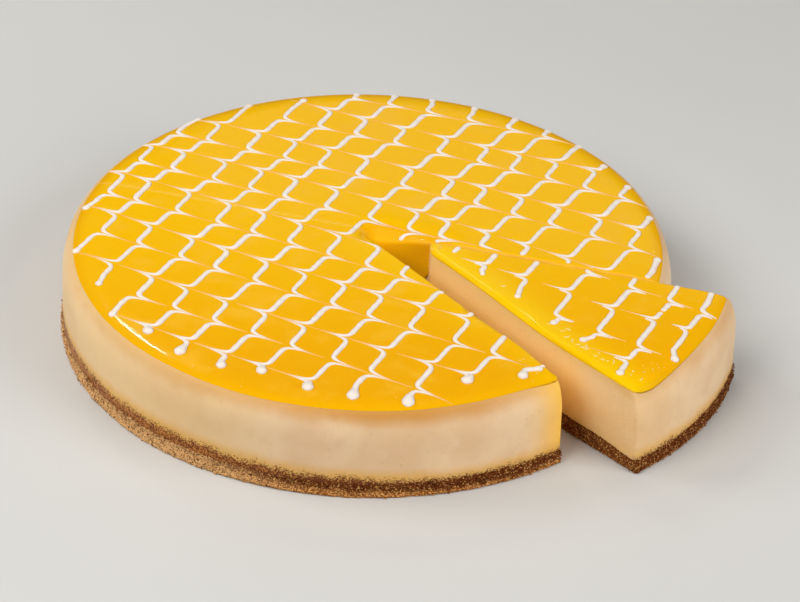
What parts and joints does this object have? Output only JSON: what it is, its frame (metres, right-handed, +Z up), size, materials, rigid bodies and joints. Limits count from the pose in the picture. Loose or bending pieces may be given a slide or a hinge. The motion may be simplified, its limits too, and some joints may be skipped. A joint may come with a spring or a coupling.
{
  "type": "lemon cheesecake",
  "caption": "Round lemon cheesecake on a biscuit crust, with a thin lemon glaze and one wedge cut and drawn a little way out.",
  "frame": {"origin": "centre of the round base, on the face that the cake stands on", "axes": "+Z up through the cake; the wedge is drawn out towards +X and a little towards -Y"},
  "size_m": [0.2636, 0.2402, 0.0378],
  "materials": {
    "biscuit": "baked biscuit crumb, rough, dark where it meets the filling",
    "cheesecake": "smooth baked cream cheese filling, satin, faintly pitted where cut",
    "lemon_glaze": "glossy set lemon gel, a little translucent",
    "icing": "thin white icing piped in lines and feathered, soft sheen"
  },
  "bodies": {
    "root": {"crust": "biscuit", "filling": "cheesecake", "glaze": "lemon_glaze", "slice_crust": "biscuit", "slice_filling": "cheesecake", "slice_glaze": "lemon_glaze"}
  },
  "joints": []
}
